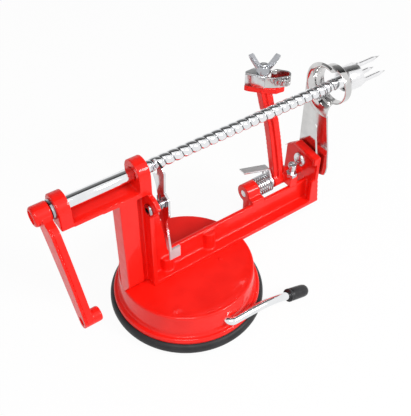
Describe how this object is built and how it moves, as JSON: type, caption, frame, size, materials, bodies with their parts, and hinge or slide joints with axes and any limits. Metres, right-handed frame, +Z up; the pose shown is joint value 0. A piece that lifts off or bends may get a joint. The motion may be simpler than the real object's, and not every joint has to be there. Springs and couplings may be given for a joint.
{
  "type": "apple peeler",
  "caption": "Hand cranked peeler, slicer and corer: a screw-fed shaft with a fork, a sprung peeling arm and a ring blade on a lever-locked suction base.",
  "frame": {"origin": "middle of the suction cup's rim, on the table that it stands on", "axes": "+Z up; +X along the drive shaft, from the crank towards the fork's prongs; -Y towards the user"},
  "size_m": [0.2525, 0.1061, 0.1477],
  "materials": {
    "red_paint": "glossy enamel",
    "black_rubber": "smooth moulded",
    "black_plastic": "satin",
    "chrome": "bright plated",
    "zinc_steel": "zinc plated",
    "pressed_steel": "bright plated",
    "blade_steel": "polished",
    "spring_wire": "drawn wire"
  },
  "bodies": {
    "stand": {"frame": "red_paint", "base_cover": "red_paint", "cup_rim": "black_rubber", "base_screw_a": "zinc_steel", "base_screw_b": "zinc_steel", "lever_rivet": "zinc_steel", "lever_spring": "spring_wire", "blade_bolt": "zinc_steel", "blade_nut": "zinc_steel", "pivot_pin": "zinc_steel", "arm_spring": "spring_wire"},
    "carriage": {"thrust_washer": "zinc_steel"},
    "spindle": {"drive_shaft": "chrome", "fork": "chrome", "crank_arm": "red_paint", "crank_pin": "zinc_steel"},
    "release": {"release_lever": "pressed_steel"},
    "slicer": {"slicing_blade": "blade_steel", "blade_washer": "zinc_steel"},
    "peeler": {"peel_arm": "red_paint", "stop_screw": "zinc_steel", "stop_nut": "zinc_steel", "peel_blade": "blade_steel", "clamp_plate": "pressed_steel", "clamp_stud": "zinc_steel"},
    "wing": {"wing_nut": "zinc_steel"},
    "latch": {"arm_latch": "pressed_steel"},
    "lock": {"suction_lever": "chrome", "lever_tip": "black_plastic"},
    "stem": {"cup_stem": "zinc_steel", "cup_membrane": "black_rubber"}
  },
  "joints": [
    {"name": "feed_travel", "type": "slide", "parent": "stand", "child": "carriage", "axis": [1, 0, 0], "range_m": [-0.122, 0]},
    {"name": "crank_spin", "type": "hinge", "parent": "carriage", "child": "spindle", "pos_m": [-0.08, 0.004, 0.1236], "axis": [1, 0, 0], "range_deg": [-7200, 0]},
    {"name": "release_press", "type": "hinge", "parent": "stand", "child": "release", "pos_m": [-0.0186, -0.0051, 0.1003], "axis": [1, 0, 0], "range_deg": [0, 4], "stiffness_Nm_per_rad": 0.1, "springref_deg": -11.46},
    {"name": "slicer_adjust", "type": "slide", "parent": "stand", "child": "slicer", "axis": [0, 0, 1], "range_m": [-0.0025, 0.0025]},
    {"name": "peeler_swing", "type": "hinge", "parent": "stand", "child": "peeler", "pos_m": [0.0885, 0.014, 0.052], "axis": [1, 0, 0], "range_deg": [-60, 0], "stiffness_Nm_per_rad": 0.06, "springref_deg": 34.38},
    {"name": "wing_turn", "type": "hinge", "parent": "peeler", "child": "wing", "pos_m": [0.078, 0.0265, 0.14], "axis": [0, 0, 1], "continuous": true},
    {"name": "latch_tilt", "type": "hinge", "parent": "stand", "child": "latch", "pos_m": [0.0801, 0.014, 0.052], "axis": [1, 0, 0], "range_deg": [0, 12], "stiffness_Nm_per_rad": 0.03, "springref_deg": -17.19},
    {"name": "lock_turn", "type": "hinge", "parent": "stand", "child": "lock", "pos_m": [0, -0.04, 0.02], "axis": [0, -1, 0], "range_deg": [0, 150]},
    {"name": "stem_lift", "type": "slide", "parent": "stand", "child": "stem", "axis": [0, 0, 1], "range_m": [0, 0.003]}
  ],
  "couplings": [
    {"joint": "feed_travel", "follows": "crank_spin", "m_per_rad": 0.00097084},
    {"joint": "lock_turn", "follows": "stem_lift", "rad_per_m": 872.66}
  ]
}
